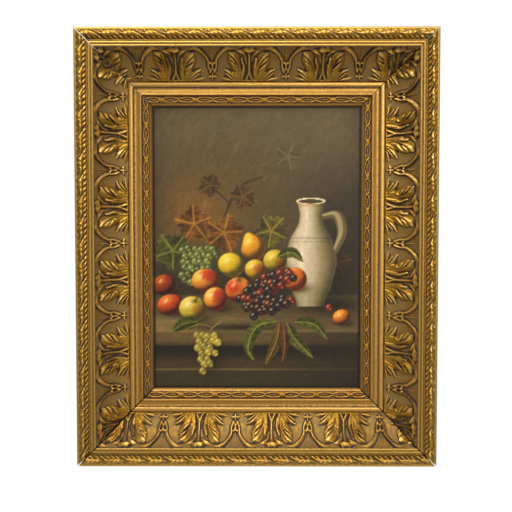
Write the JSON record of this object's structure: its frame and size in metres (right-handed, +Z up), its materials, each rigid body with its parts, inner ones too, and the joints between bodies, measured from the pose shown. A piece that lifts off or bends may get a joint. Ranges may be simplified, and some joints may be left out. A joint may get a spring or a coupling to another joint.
{
  "type": "framed oil painting",
  "caption": "Oil painting on stretched canvas in a deep gilt frame with a carved acanthus cove, a leaf garland at the rim and a ribbon-twist inner frame, made to hang on a wall.",
  "frame": {"origin": "middle of the top rail's flat back face, the point that hangs against the wall", "axes": "+Z up along the picture's height, +Y out of the back into the wall, +X to the right of someone facing the picture"},
  "size_m": [0.494, 0.0714, 0.5985],
  "materials": {
    "gilt_carved": "gold leaf over carved compo on pine, toned with a grey-brown wash and rubbed bright on the high spots",
    "gilt_burnished": "burnished gold leaf over pine, lightly worn",
    "painted_canvas": "oil paint on primed linen under a soft varnish",
    "bare_pine": "planed bare pine"
  },
  "bodies": {
    "root": {"top_moulding": "gilt_carved", "right_moulding": "gilt_carved", "bottom_moulding": "gilt_carved", "left_moulding": "gilt_carved", "top_inner_frame": "gilt_burnished", "right_inner_frame": "gilt_burnished", "bottom_inner_frame": "gilt_burnished", "left_inner_frame": "gilt_burnished", "canvas": "painted_canvas", "top_stretcher_bar": "bare_pine", "right_stretcher_bar": "bare_pine", "bottom_stretcher_bar": "bare_pine", "left_stretcher_bar": "bare_pine"}
  },
  "joints": []
}
